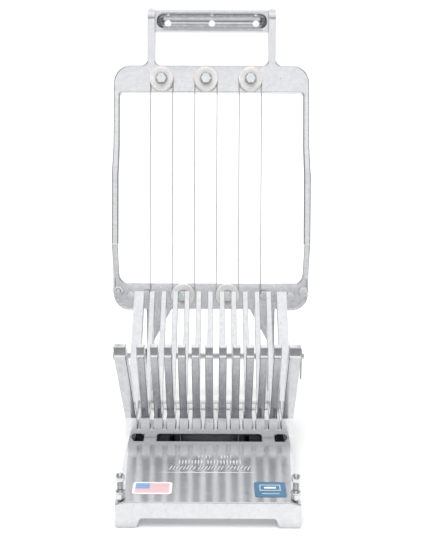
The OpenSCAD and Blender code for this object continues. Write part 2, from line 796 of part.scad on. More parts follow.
module top_roller_left() roller(upper_roller_xs[0], upper_roller_u);
module top_roller_middle() roller(upper_roller_xs[1], upper_roller_u);
module top_roller_right() roller(upper_roller_xs[2], upper_roller_u);
module bottom_roller_left() roller(lower_roller_xs[0], lower_roller_u);
module bottom_roller_right() roller(lower_roller_xs[1], lower_roller_u);

// ---- hinge pin and its clip ----

module at_hinge() {
    at_vertex() translate([0, hinge_back, hinge_z]) children();
}

module hinge_pin() color("silver") at_hinge() difference() {
    union() {
        translate([pin_left_x + 1, 0, 0]) rotate([0, 90, 0])
            cylinder(d = pin_d, h = pin_right_x - pin_left_x - 1);
        translate([pin_left_x + 1, 0, 0]) rotate([0, 90, 0]) cylinder(r = 4, h = 1.4);
        translate([pin_left_x, 0, 0]) rotate([0, 90, 0]) cylinder(r1 = 2.6, r2 = 4, h = 1);
    }
    translate([clip_x, 0, -5]) cylinder(d = 2 * clip_r + hole_gap, h = 10);
}

module hairpin_clip() color("gray") at_hinge() translate([clip_x, 0, 0]) rotate([90, 0, 90]) {
    loop_r = 2.2;
    bow_r = pin_d / 2 + clip_r + 0.4;
    bow_turn = 50;
    bow_end = bow_r * [cos(bow_turn), sin(bow_turn)];
    // straight leg through the pin, round end, springy leg, bow behind the pin and flared tip
    route = concat(
        [[0, 6, -90]],
        arc([loop_r, -clip_drop], loop_r, 180, 360, 9),
        [[2 * loop_r - 1.4, -8, 85]],
        arc([0, 0], bow_r, -bow_turn, bow_turn, 9),
        [[bow_end[0] + 1.4, bow_end[1] + 2.4, 60]]
    );
    bent_wire(route, 2 * clip_r);
}

base_casting();
finger_cradle();
cradle_bolts();
cradle_washers();
cheek_bolts();
stop_screws();
stop_nuts();
stop_washers();
left_label();
right_label();
arm_frame();
hinge_yoke();
corner_bolts();
corner_nuts();
yoke_bolts();
yoke_nuts();
roller_bolts();
roller_spacers();
roller_washers();
roller_nuts();
clamp_screws();
clamp_collars();
clamp_washers();
clamp_nuts();
cutting_wire();
top_roller_left();
top_roller_middle();
top_roller_right();
bottom_roller_left();
bottom_roller_right();
hinge_pin();
hairpin_clip();
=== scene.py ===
"""Looks of a lever-frame wire egg slicer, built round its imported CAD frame. Metres, +X right, +Y back, +Z up."""

import json
import math

import bmesh
import bpy
import numpy
from mathutils import Matrix, Vector
from mathutils.bvhtree import BVHTree
from mathutils.kdtree import KDTree


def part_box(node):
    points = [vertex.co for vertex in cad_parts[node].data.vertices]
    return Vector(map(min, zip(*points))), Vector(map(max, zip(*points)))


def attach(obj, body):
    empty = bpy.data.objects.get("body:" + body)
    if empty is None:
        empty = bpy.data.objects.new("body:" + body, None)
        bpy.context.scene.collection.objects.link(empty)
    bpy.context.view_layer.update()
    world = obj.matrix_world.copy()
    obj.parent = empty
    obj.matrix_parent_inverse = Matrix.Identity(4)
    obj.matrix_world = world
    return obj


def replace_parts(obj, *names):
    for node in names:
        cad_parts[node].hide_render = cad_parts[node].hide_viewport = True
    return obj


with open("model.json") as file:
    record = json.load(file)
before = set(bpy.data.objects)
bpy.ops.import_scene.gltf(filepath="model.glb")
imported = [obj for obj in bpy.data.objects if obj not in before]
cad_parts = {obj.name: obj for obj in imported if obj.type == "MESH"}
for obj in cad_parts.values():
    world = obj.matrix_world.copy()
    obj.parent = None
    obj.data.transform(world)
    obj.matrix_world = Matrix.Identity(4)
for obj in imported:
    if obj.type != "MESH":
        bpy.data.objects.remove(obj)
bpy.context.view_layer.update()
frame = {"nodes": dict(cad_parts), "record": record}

MM = 0.001
BEHAVIOUR = frame["record"]["behaviour"]
BODY_OF = {node: body for body, nodes in BEHAVIOUR["bodies"].items() for node in nodes}
JOINTS = {joint["name"]: joint for joint in BEHAVIOUR["joints"]}

# The open frame's own axes: x across, u up the frame from the hinge, w out of its front
HINGE = Vector(JOINTS["frame_hinge"]["pos_m"])
ARM_OUT = Vector(JOINTS["top_roller_left_spin"]["axis"]).normalized()
ARM_UP = ARM_OUT.cross(Vector((1, 0, 0)))
if ARM_UP.z < 0:
    ARM_UP.negate()


def on_arm(x, u, w):
    """A place given in millimetres in the open frame's axes."""
    return HINGE + MM * (x * Vector((1, 0, 0)) + u * ARM_UP + w * ARM_OUT)


def add_object(name, data):
    """A new object in the scene that shows the data."""
    made = bpy.data.objects.new(name, data)
    bpy.context.scene.collection.objects.link(made)
    return made


def mesh_from(bm, name):
    """A named mesh made from a bmesh, which is then let go."""
    mesh = bpy.data.meshes.new(name)
    bm.to_mesh(mesh)
    bm.free()
    return mesh


# ---------------------------------------------------------------- stage

CAMERA_PLACE = (0.0051, -0.7501, 0.2996)
CAMERA_DOWN, CAMERA_LEFT, CAMERA_ROLL = (math.radians(angle) for angle in (12.226, 0.105, 0.2))
SENSOR_MM, LENS_MM = 36, 67.04
FLOOR_RADIUS = 14


def make_camera():
    """A long lens a little above the handle's height, looking slightly down."""
    data = bpy.data.cameras.new("camera")
    data.sensor_width = SENSOR_MM
    data.lens = LENS_MM
    camera = add_object("camera", data)
    turn = (Matrix.Rotation(CAMERA_LEFT, 4, "Z")
            @ Matrix.Rotation(math.pi / 2 - CAMERA_DOWN, 4, "X")
            @ Matrix.Rotation(CAMERA_ROLL, 4, "Z"))
    camera.matrix_world = Matrix.Translation(CAMERA_PLACE) @ turn
    bpy.context.scene.camera = camera


def make_floor():
    """One wide round floor, plain and pale. Polished metal sees the tent instead of it."""
    bm = bmesh.new()
    bmesh.ops.create_circle(bm, cap_ends=True, segments=96, radius=FLOOR_RADIUS)
    mesh = mesh_from(bm, "floor")
    floor = add_object("floor", mesh)
    tree = NodeTree("floor")
    clouds = tree.noise(3, detail=2)
    tree.link(tree.ramp(clouds, (0.3, (0.93, 0.93, 0.93)), (0.7, (0.96, 0.96, 0.96))), tree.shader, "Base Color")
    tree.put(tree.shader, "Roughness", 0.75)
    mesh.materials.append(tree.material)
    floor.visible_glossy = False


def make_card():
    """A glowing white card just under the object, which only polished metal mirrors: painted light that stands in
    for the pale floor in its reflections.
    """
    bm = bmesh.new()
    corners = [(-0.6, -0.33), (0.6, -0.33), (0.6, 0.9), (-0.6, 0.9)]
    bm.faces.new([bm.verts.new((x, y, -0.5 * MM)) for x, y in corners])
    mesh = mesh_from(bm, "card")
    card = add_object("card", mesh)
    tree = NodeTree("card")
    tree.put(tree.shader, "Base Color", (0, 0, 0, 1))
    tree.put(tree.shader, "Specular IOR Level", 0)
    clouds = tree.noise(4, detail=2)
    tree.link(tree.ramp(clouds, (0.3, (0.93, 0.93, 0.935)), (0.7, (1, 1, 1))), tree.shader, "Emission Color")
    tree.put(tree.shader, "Emission Strength", CARD_STRENGTH)
    mesh.materials.append(tree.material)
    card.visible_camera = card.visible_diffuse = card.visible_shadow = card.visible_transmission = False


def sky_light(name, place, strength, spread):
    """A wide soft sun, which lights matt surfaces and which polished metal doesn't mirror."""
    data = bpy.data.lights.new(name, "SUN")
    data.energy = strength
    data.angle = math.radians(spread)
    light = add_object(name, data)
    light.rotation_euler = Vector(place).to_track_quat("Z", "Y").to_euler()
    light.visible_glossy = False


def grey_ramp(nodes, stops):
    """A colour ramp through greys, from (place, level) pairs that start at 0 and end at 1."""
    ramp = nodes.new("ShaderNodeValToRGB")
    elements = ramp.color_ramp.elements
    for at, level in stops:
        stop = elements[0] if at == 0 else elements[-1] if at == 1 else elements.new(at)
        stop.color = (level, level, level * 1.008, 1)
    return ramp


def make_lights():
    """A white tent. What the metal mirrors has grey bands in front and dark flags at the sides."""
    world = bpy.data.worlds.new("tent")
    bpy.context.scene.world = world
    world.use_nodes = True
    nodes, links = world.node_tree.nodes, world.node_tree.links
    nodes.clear()

    def wire(source, node, socket):
        links.new(source, node.inputs[socket])

    place = nodes.new("ShaderNodeTexCoord")
    split = nodes.new("ShaderNodeSeparateXYZ")
    wire(place.outputs["Generated"], split, 0)

    height = nodes.new("ShaderNodeMapRange")
    height.inputs["From Min"].default_value = -1
    wire(split.outputs["Z"], height, "Value")
    front = grey_ramp(nodes, TENT_FRONT)
    wire(height.outputs["Result"], front, 0)
    back = grey_ramp(nodes, TENT_BACK)
    wire(height.outputs["Result"], back, 0)

    behind = nodes.new("ShaderNodeMapRange")
    behind.inputs["From Min"].default_value = -0.1
    behind.inputs["From Max"].default_value = 0.2
    wire(split.outputs["Y"], behind, "Value")
    round_mix = nodes.new("ShaderNodeMixRGB")
    wire(behind.outputs["Result"], round_mix, 0)
    wire(front.outputs[0], round_mix, 1)
    wire(back.outputs[0], round_mix, 2)

    sideways = nodes.new("ShaderNodeMath")
    sideways.operation = "ABSOLUTE"
    wire(split.outputs["X"], sideways, 0)
    flags = grey_ramp(nodes, TENT_SIDES)
    wire(sideways.outputs[0], flags, 0)
    both = nodes.new("ShaderNodeMixRGB")
    both.blend_type = "MULTIPLY"
    both.inputs[0].default_value = 1
    wire(round_mix.outputs[0], both, 1)
    wire(flags.outputs[0], both, 2)

    tent = nodes.new("ShaderNodeBackground")
    tent.inputs["Strength"].default_value = TENT_STRENGTH
    wire(both.outputs[0], tent, "Color")
    plain = nodes.new("ShaderNodeBackground")
    plain.inputs["Color"].default_value = (1, 1, 1, 1)
    plain.inputs["Strength"].default_value = BACKDROP_STRENGTH
    path = nodes.new("ShaderNodeLightPath")
    mix = nodes.new("ShaderNodeMixShader")
    wire(path.outputs["Is Camera Ray"], mix, 0)
    wire(tent.outputs[0], mix, 1)
    wire(plain.outputs[0], mix, 2)
    out = nodes.new("ShaderNodeOutputWorld")
    wire(mix.outputs[0], out, "Surface")

    sky_light("sky", (-0.1, -0.25, 1), SUN_STRENGTH, SUN_SPREAD)
    scene = bpy.context.scene
    scene.view_settings.view_transform = "Standard"
    scene.view_settings.look = "None"


TENT_STRENGTH, BACKDROP_STRENGTH, CARD_STRENGTH = 1.04, 1.02, 1.08
SUN_STRENGTH, SUN_SPREAD = 3.2, 75
# Brightness of the mirrored tent from straight down (0) to straight up (1), and from the middle to the sides
TENT_FRONT = (
    (0, 0.5), (0.325, 0.42), (0.36, 0.28), (0.525, 0.3), (0.565, 0.8), (0.60, 0.93), (0.68, 0.93), (0.73, 0.38),
    (0.8, 0.35), (0.87, 0.74), (0.94, 0.8), (1, 1)
)
TENT_BACK = ((0, 0.7), (0.45, 0.9), (0.55, 1), (0.85, 0.95), (1, 0.8))
TENT_SIDES = ((0, 1), (0.24, 0.98), (0.4, 0.3), (0.75, 0.26), (0.93, 0.75), (1, 0.85))


# ---------------------------------------------------------------- materials

class NodeTree:
    """A material being wired: one Principled shader with helpers for what feeds it."""

    def __init__(self, name):
        self.material = bpy.data.materials.new(name)
        self.material.use_nodes = True
        self.nodes = self.material.node_tree.nodes
        self.links = self.material.node_tree.links
        self.shader = self.nodes["Principled BSDF"]
        self.place = self.nodes.new("ShaderNodeTexCoord")

    def put(self, node, socket, value):
        node.inputs[socket].default_value = value

    def link(self, source, node, socket):
        self.links.new(source, node.inputs[socket])

    def noise(self, scale, detail=3, roughness=0.5, stretch=(1, 1, 1), distort=0):
        """A noise fixed to the object; stretch above 1 on an axis makes it finer along that axis."""
        mapping = self.nodes.new("ShaderNodeMapping")
        self.put(mapping, "Scale", stretch)
        self.link(self.place.outputs["Object"], mapping, "Vector")
        noise = self.nodes.new("ShaderNodeTexNoise")
        self.put(noise, "Scale", scale)
        self.put(noise, "Detail", detail)
        self.put(noise, "Roughness", roughness)
        self.put(noise, "Distortion", distort)
        self.link(mapping.outputs["Vector"], noise, "Vector")
        return noise.outputs["Fac"]

    def ramp(self, source, low, high):
        ramp = self.nodes.new("ShaderNodeValToRGB")
        for stop, (at, colour) in zip(ramp.color_ramp.elements, (low, high)):
            stop.position = at
            stop.color = (*colour, 1)
        self.links.new(source, ramp.inputs[0])
        return ramp.outputs["Color"]

    def scale_to(self, source, low, high, start=0.3, end=0.7):
        to = self.nodes.new("ShaderNodeMapRange")
        for socket, value in (("From Min", start), ("From Max", end), ("To Min", low), ("To Max", high)):
            self.put(to, socket, value)
        self.link(source, to, "Value")
        return to.outputs["Result"]

    def math(self, kind, a, b=0.0):
        node = self.nodes.new("ShaderNodeMath")
        node.operation = kind
        for k, value in enumerate((a, b)):
            if isinstance(value, (int, float)):
                node.inputs[k].default_value = value
            else:
                self.links.new(value, node.inputs[k])
        return node.outputs[0]

    def mix(self, kind, amount, a, b):
        node = self.nodes.new("ShaderNodeMixRGB")
        node.blend_type = kind
        for k, value in enumerate((amount, a, b)):
            if isinstance(value, (int, float)):
                node.inputs[k].default_value = value
            elif isinstance(value, tuple):
                node.inputs[k].default_value = (*value, 1)
            else:
                self.links.new(value, node.inputs[k])
        return node.outputs[0]

    def part(self, output, axis):
        """One axis of the surface's Normal, or of its place on the Object in metres."""
        split = self.nodes.new("ShaderNodeSeparateXYZ")
        self.link(self.place.outputs[output], split, 0)
        return split.outputs[axis]

    def facing(self, axis, start, end):
        """0 to 1 as the surface turns to face along an axis of the object."""
        return self.scale_to(self.part("Normal", axis), 0, 1, start, end)

    def sideways(self, start, end):
        """0 to 1 as the surface turns to face left or right."""
        return self.scale_to(self.math("ABSOLUTE", self.part("Normal", "X")), 0, 1, start, end)

    def crevice(self, reach):
        """1 in the open, towards 0 in a crevice narrower than reach; the materials paint shade with it."""
        shade = self.nodes.new("ShaderNodeAmbientOcclusion")
        shade.samples = 4
        self.put(shade, "Distance", reach)
        return shade.outputs["AO"]

    def bump(self, *layers):
        """Stacks (height, depth in metres) layers into the shader's normal."""
        last = None
        for height, depth in layers:
            bump = self.nodes.new("ShaderNodeBump")
            self.put(bump, "Distance", depth)
            self.link(height, bump, "Height")
            if last is not None:
                self.link(last, bump, "Normal")
            last = bump.outputs["Normal"]
        self.link(last, self.shader, "Normal")


def cast_metal(name, light, dark, rough, up_rough, streaks, mottle=0.5, under=1.0, crevice_shade=0.5, wave=0.0002,
               rear=None, flank=1.0, reach=0.005, metal=1.0):
    """Cast aluminium: soft mottling, pores, polishing streaks, painted shade in crevices, its own gloss where it
    faces up.

    rough is the roughness, and up_rough that of the faces that look up.
    under paints shade on the faces that look down, and flank on those that look to the sides.
    wave is the depth of the surface's slow unevenness, and reach how wide a crevice still gets painted shade.
    rear is (from y, to y, tone), where the upward faces get painted shade towards the back.
    metal below 1 paints a pale sheen into the colour, standing for fine glints too small to show one by one.
    """
    tree = NodeTree(name)
    clouds = tree.noise(55, detail=5, roughness=0.6)
    patches = tree.noise(240, detail=4, roughness=0.65, distort=0.4)
    streak = tree.noise(110, detail=4, roughness=0.7, stretch=streaks)
    grain = tree.noise(1700, detail=2, roughness=0.6)
    pores = tree.noise(800, detail=1)
    colour = tree.mix("MIX", tree.scale_to(clouds, 0, 1), dark, light)
    clouded = tree.ramp(patches, (0.36, (0.84, 0.85, 0.865)), (0.6, (1, 1, 1)))
    colour = tree.mix("MULTIPLY", mottle, colour, clouded)
    colour = tree.mix("MULTIPLY", 0.3, colour, tree.ramp(streak, (0.36, (0.8, 0.81, 0.83)), (0.6, (1, 1, 1))))
    colour = tree.mix("MULTIPLY", 0.35, colour, tree.ramp(pores, (0.2, (0.5, 0.51, 0.53)), (0.29, (1, 1, 1))))
    # painted shade: the colour darkens in crevices narrower than reach
    shade_ramp = tree.ramp(tree.crevice(reach), (0.25, (0.5, 0.505, 0.515)), (0.75, (1, 1, 1)))
    colour = tree.mix("MULTIPLY", crevice_shade, colour, shade_ramp)
    # painted shade: darker on the faces that look down
    colour = tree.mix("MULTIPLY", tree.facing("Z", -0.15, -0.4), colour, (under, under, under * 1.01))
    # painted shade: darker on the faces that look to the sides
    colour = tree.mix("MULTIPLY", tree.sideways(0.3, 0.7), colour, (flank, flank, flank * 1.01))
    # painted shade: upward faces darker towards the back, from one y to the other
    if rear:
        start, end, tone = rear
        behind = tree.scale_to(tree.part("Object", "Y"), 0, 1, start, end)
        rear_shade = tree.math("MULTIPLY", behind, tree.facing("Z", 0.5, 0.9))
        colour = tree.mix("MULTIPLY", rear_shade, colour, (tone, tone, tone * 1.01))
    tree.link(colour, tree.shader, "Base Color")
    tree.put(tree.shader, "Metallic", metal)
    gloss = tree.scale_to(tree.facing("Z", 0.5, 0.95), rough, up_rough, 0, 1)
    spread = tree.math("ADD", tree.scale_to(patches, -0.02, 0.02), tree.scale_to(streak, -0.02, 0.02))
    tree.link(tree.math("ADD", spread, gloss), tree.shader, "Roughness")
    tree.bump((clouds, wave), (grain, 0.0000015), (streak, 0.000003))
    return tree.material


def bright_steel(name, light, dark, rough, turned=(1, 1, 1)):
    """Zinc-plated or drawn steel: cool tint that drifts, fine tool marks, small scuffs."""
    tree = NodeTree(name)
    drift = tree.noise(180, detail=3)
    marks = tree.noise(900, detail=3, roughness=0.6, stretch=turned)
    scuffs = tree.noise(1500, detail=2, distort=1.0)
    colour = tree.mix("MIX", tree.scale_to(drift, 0, 1), dark, light)
    colour = tree.mix("MULTIPLY", 0.4, colour, tree.ramp(scuffs, (0.3, (0.72, 0.73, 0.74)), (0.45, (1, 1, 1))))
    # painted shade: the colour darkens in crevices
    shade_ramp = tree.ramp(tree.crevice(0.003), (0.2, (0.45, 0.46, 0.47)), (0.8, (1, 1, 1)))
    colour = tree.mix("MULTIPLY", 0.7, colour, shade_ramp)
    tree.link(colour, tree.shader, "Base Color")
    tree.put(tree.shader, "Metallic", 1.0)
    tree.link(tree.scale_to(marks, rough - 0.06, rough + 0.08), tree.shader, "Roughness")
    tree.bump((marks, 0.00003), (scuffs, 0.00002))
    return tree.material


def turned_nylon(name):
    """Natural nylon, lathe-turned: a little translucency, warm grey, painted shade round its groove."""
    tree = NodeTree(name)
    drift = tree.noise(120, detail=3)
    specks = tree.noise(1400, detail=2)
    colour = tree.mix("MIX", tree.scale_to(drift, 0, 1), (0.70, 0.685, 0.67), (0.79, 0.775, 0.76))
    colour = tree.mix("MULTIPLY", 0.35, colour, tree.ramp(specks, (0.28, (0.75, 0.72, 0.68)), (0.4, (1, 1, 1))))
    # painted shade: the colour darkens in the groove and other crevices
    shade_ramp = tree.ramp(tree.crevice(0.004), (0.1, (0.42, 0.39, 0.36)), (0.8, (1, 1, 1)))
    colour = tree.mix("MULTIPLY", 0.8, colour, shade_ramp)
    tree.link(colour, tree.shader, "Base Color")
    tree.link(tree.scale_to(specks, 0.34, 0.46), tree.shader, "Roughness")
    tree.put(tree.shader, "Subsurface Weight", 0.15)
    tree.put(tree.shader, "Subsurface Scale", 0.002)
    tree.bump((specks, 0.00003), (drift, 0.0002))
    return tree.material


def print_film(name, node, ink, border, rim, fields=()):
    """Printed vinyl: an inked field inside a plain border, blocks of other inks, faint mottle, coated gloss.

    rim is the border's width; fields are (low x, low y, high x, high y, ink), as parts of the field from 0 to 1.
    """
    tree = NodeTree(name)
    low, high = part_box(node)
    across, along = tree.part("Object", "X"), tree.part("Object", "Y")

    def inside(x0, y0, x1, y1):
        tests = (("GREATER_THAN", across, x0), ("LESS_THAN", across, x1),
                 ("GREATER_THAN", along, y0), ("LESS_THAN", along, y1))
        mask = tree.math(*tests[0])
        for test in tests[1:]:
            mask = tree.math("MULTIPLY", mask, tree.math(*test))
        return mask

    x0, y0, x1, y1 = low[0] + rim, low[1] + rim, high[0] - rim, high[1] - rim
    colour = tree.mix("MIX", inside(x0, y0, x1, y1), border, ink)
    for fx0, fy0, fx1, fy1, other in fields:
        place = (x0 + fx0 * (x1 - x0), y0 + fy0 * (y1 - y0), x0 + fx1 * (x1 - x0), y0 + fy1 * (y1 - y0))
        colour = tree.mix("MIX", inside(*place), colour, other)
    mottle = tree.noise(420, detail=4)
    dots = tree.noise(5200, detail=1)
    colour = tree.mix("MULTIPLY", 0.5, colour, tree.ramp(mottle, (0.3, (0.86, 0.86, 0.87)), (0.7, (1, 1, 1))))
    colour = tree.mix("MULTIPLY", 0.2, colour, tree.ramp(dots, (0.35, (0.86, 0.86, 0.86)), (0.6, (1, 1, 1))))
    tree.link(colour, tree.shader, "Base Color")
    tree.link(tree.scale_to(mottle, 0.3, 0.42), tree.shader, "Roughness")
    tree.put(tree.shader, "Coat Weight", 0.3)
    tree.put(tree.shader, "Coat Roughness", 0.2)
    tree.bump((mottle, 0.00005), (dots, 0.00001))
    return tree.material


make_camera()
make_floor()
make_card()
make_lights()

PALE, RED_TINT, SKY_BLUE = (0.93, 0.93, 0.93), (0.74, 0.50, 0.52), (0.22, 0.36, 0.60)
MID_BLUE, FINE_LINE = (0.062, 0.172, 0.285), (0.45, 0.58, 0.68)
MATERIALS = {
    "cast_base": cast_metal("cast_base", (0.95, 0.955, 0.96), (0.90, 0.905, 0.915), 0.3, 0.17, (12, 0.6, 12),
                            wave=0.00005, rear=(-0.078, -0.060, 0.72), crevice_shade=0.85, reach=0.012),
    # painted glint: the beads are the deck's own casting, given a lighter, less metallic copy of its finish so
    # that they read as glints
    "beading": cast_metal("beading", (0.98, 0.98, 0.98), (0.96, 0.96, 0.96), 0.16, 0.16, (1, 1, 1), 0.2, crevice_shade=0.1,
                          metal=0.3),
    "cast_cradle": cast_metal("cast_cradle", (0.94, 0.945, 0.95), (0.86, 0.865, 0.875), 0.14, 0.2, (10, 0.8, 0.8),
                              under=0.78, crevice_shade=0.25, wave=0.0001, flank=0.6),
    "cast_frame": cast_metal("cast_frame", (0.96, 0.962, 0.97), (0.89, 0.895, 0.905), 0.17, 0.2, (1, 6, 6), 0.6,
                             wave=0.0001, flank=0.55),
    "cast_yoke": cast_metal("cast_yoke", (0.93, 0.94, 0.955), (0.84, 0.85, 0.865), 0.2, 0.22, (0.7, 6, 6), 0.7,
                            wave=0.0001, flank=0.6, crevice_shade=0.9, reach=0.003),
    "zinc_steel": bright_steel("zinc_steel", (0.92, 0.95, 0.955), (0.82, 0.86, 0.87), 0.14),
    "post_steel": bright_steel("post_steel", (0.97, 0.98, 0.98), (0.9, 0.92, 0.925), 0.3),
    # painted shade: a darker copy of the zinc steel, for the shade round the bolt heads that sit on the washers
    "zinc_washer": bright_steel("zinc_washer", (0.66, 0.69, 0.70), (0.52, 0.55, 0.56), 0.24),
    "plain_steel": bright_steel("plain_steel", (0.66, 0.66, 0.67), (0.52, 0.52, 0.53), 0.26, (14, 1, 1)),
    "spring_steel": bright_steel("spring_steel", (0.52, 0.52, 0.53), (0.4, 0.4, 0.41), 0.25, (1, 1, 6)),
    "steel_wire": bright_steel("steel_wire", (0.97, 0.955, 0.93), (0.88, 0.865, 0.84), 0.42, (1, 8, 1)),
    "nylon": turned_nylon("nylon"),
    "pale_label": print_film("pale_label", "left_label", RED_TINT, PALE, 1.7 * MM, [
        (0, 0.42, 0.42, 1, SKY_BLUE),
    ]),
    "blue_label": print_film("blue_label", "right_label", MID_BLUE, MID_BLUE, 0.7 * MM, [
        (0.14, 0.40, 0.86, 0.84, FINE_LINE), (0.18, 0.46, 0.82, 0.78, MID_BLUE),
        (0.30, 0.56, 0.70, 0.68, PALE), (0.2, 0.17, 0.8, 0.23, FINE_LINE),
    ]),
}


# ---------------------------------------------------------------- pieces

# Below FLAT two faces are one, above CORNER an edge is rounded, above STILL_SHARP the shading breaks there
FLAT = math.radians(0.4)
CORNER = math.radians(26)
STILL_SHARP = math.radians(50)
SMALL_STEP = math.radians(12)
LARGE_FACE = 4 * MM * MM
# Closer than these, points of a CAD mesh are the same point
SAME_POINT = 0.008 * MM
NO_LENGTH = 0.004 * MM


def add_piece(name, mesh, body, slot, finish=None):
    """A piece that rides on a body, with its slot's material or another finish."""
    piece = add_object(name, mesh)
    mesh.materials.clear()
    mesh.materials.append(MATERIALS[finish or slot])
    mesh.polygons.foreach_set("use_smooth", [True] * len(mesh.polygons))
    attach(piece, body)
    return piece


def is_corner(edge):
    return len(edge.link_faces) == 2 and edge.calc_face_angle(0) > CORNER


def along_from(edge, vert):
    return edge.other_vert(vert).co - vert.co


def clean_copy(node):
    """A bmesh copy of a CAD node whose flat faces are whole.

    Where one flat face has a hole, it keeps joints, and those are the ones that stand squarest to its edges.
    """
    source = frame["nodes"][node].data
    mesh = bpy.data.meshes.new(node + "_finish")
    mesh.from_pydata([v.co for v in source.vertices], [], [tuple(p.vertices) for p in source.polygons])
    bm = bmesh.new()
    bm.from_mesh(mesh)
    bmesh.ops.remove_doubles(bm, verts=bm.verts, dist=SAME_POINT)
    bmesh.ops.dissolve_degenerate(bm, dist=NO_LENGTH, edges=bm.edges)
    corners = {edge for edge in bm.edges if is_corner(edge)}
    joints = []
    for edge in bm.edges:
        if edge in corners or len(edge.link_faces) != 2 or edge.calc_face_angle(0) > FLAT:
            continue
        slants = [1.0]
        for vert in edge.verts:
            way = along_from(edge, vert).normalized()
            for other in vert.link_edges:
                if other in corners:
                    turn = along_from(other, vert).normalized()
                    if turn.dot(way) > 0:
                        slants.append(turn.cross(way).length)
        joints.append((min(slants), -edge.calc_length(), edge.index, edge))
    joints.sort(key=lambda joint: joint[:3])
    for *_, edge in joints:
        if edge.is_valid and len(edge.link_faces) == 2 and edge.link_faces[0] != edge.link_faces[1]:
            try:
                bmesh.utils.face_join(list(edge.link_faces))
            except ValueError:
                continue
    bmesh.ops.dissolve_limit(bm, angle_limit=FLAT, verts=bm.verts, edges=[])
    return mesh, bm


def room_beside(edge, corners):
    """How wide the edge can be rounded before it meets its neighbours."""
    room = 1.0
    for vert in edge.verts:
        way = along_from(edge, vert).normalized()
        for other in vert.link_edges:
            side = along_from(other, vert)
            width = (side - way * side.dot(way)).length
            if other == edge or (side.dot(way) < 0 and width < 0.5 * side.length):
                continue
            room = min(room, width * (0.45 if other in corners else 0.8))
    return room


def bore_rims(corners):
    """Corner edges that close into a ring small enough to lie under a bolt's head or nut."""
    rims, seen = set(), set()
    for first in sorted(corners, key=lambda edge: edge.index):
        if first in seen:
            continue
        ring, queue = {first}, [first]
        while queue:
            for vert in queue.pop().verts:
                for other in vert.link_edges:
                    if other in corners and other not in ring:
                        ring.add(other)
                        queue.append(other)
        seen |= ring
        places = [vert.co for edge in ring for vert in edge.verts]
        if all(max(p[k] for p in places) - min(p[k] for p in places) < RIM_MM * MM for k in range(3)):
            rims |= ring
    return rims


def rounded_copy(node, edge_mm, steps=2):
    """A clean copy of a CAD node with its corners rounded, which stands for the node."""
    width = edge_mm * MM
    mesh, bm = clean_copy(node)
    surface = BVHTree.FromBMesh(bm)
    weight = bm.edges.layers.float.new("bevel_weight_edge")
    corners = {edge for edge in bm.edges if is_corner(edge)}
    rims = bore_rims(corners) if node in CASTINGS else set()
    for edge in corners:
        edge[weight] = 0 if edge in rims else min(1.0, room_beside(edge, corners) / width)
    bm.to_mesh(mesh)
    bm.free()
    slot = frame["nodes"][node].material_slots[0].material.name
    piece = add_piece(node + "_finish", mesh, BODY_OF[node], slot, FINISH.get(node))
    bevel = piece.modifiers.new("edges", "BEVEL")
    bevel.width = width
    bevel.segments = steps
    bevel.limit_method = "WEIGHT"
    bevel.use_clamp_overlap = False
    ease_spikes(piece, surface, width)
    shown = piece.evaluated_get(bpy.context.evaluated_depsgraph_get())
    piece.data = bpy.data.meshes.new_from_object(shown)
    piece.data.set_sharp_from_angle(angle=STILL_SHARP)
    part_large_faces(piece.data)
    piece.modifiers.clear()
    even = piece.modifiers.new("even", "WEIGHTED_NORMAL")
    even.mode = "FACE_AREA"
    even.weight = 100
    even.keep_sharp = True
    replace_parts(piece, node)


def part_large_faces(mesh):
    """Marks edges sharp where a rounding tapers off between two large faces, so that neither shades the other."""
    bm = bmesh.new()
    bm.from_mesh(mesh)
    for vert in bm.verts:
        large = [face.normal for face in vert.link_faces if face.calc_area() > LARGE_FACE]
        if all(one.angle(two) < STILL_SHARP for k, one in enumerate(large) for two in large[:k]):
            continue
        for edge in vert.link_edges:
            if len(edge.link_faces) == 2 and edge.calc_face_angle(0) > SMALL_STEP:
                edge.smooth = False
    bm.to_mesh(mesh)
    bm.free()


def folded_places(mesh):
    """Places where a flat face's outline crosses itself."""
    mesh.calc_loop_triangles()
    folded = set()
    for triangle in mesh.loop_triangles:
        face = mesh.polygons[triangle.polygon_index]
        if len(face.vertices) > 4 and triangle.area > 0 and triangle.normal.dot(face.normal) < 0:
            folded.add(face.index)
    places = []
    for index in sorted(folded):
        face = mesh.polygons[index]
        right = face.normal.orthogonal().normalized()
        up = face.normal.cross(right)
        corners = [mesh.vertices[k].co for k in face.vertices]
        flat = numpy.array([(co.dot(right), co.dot(up)) for co in corners]) / MM
        step = numpy.roll(flat, -1, axis=0) - flat
        gap = flat[None, :, :] - flat[:, None, :]
        turn = step[:, None, 0] * step[None, :, 1] - step[:, None, 1] * step[None, :, 0]
        turn = numpy.where(numpy.abs(turn) < 1e-12, numpy.inf, turn)
        on_one = (gap[:, :, 0] * step[None, :, 1] - gap[:, :, 1] * step[None, :, 0]) / turn
        on_two = (gap[:, :, 0] * step[:, None, 1] - gap[:, :, 1] * step[:, None, 0]) / turn
        margin = 1e-4
        cross = (on_one > margin) & (on_one < 1 - margin) & (on_two > margin) & (on_two < 1 - margin)
        for k in sorted(set(numpy.nonzero(cross)[0].tolist())):
            places.append((corners[k] + corners[(k + 1) % len(corners)]) / 2)
    return places


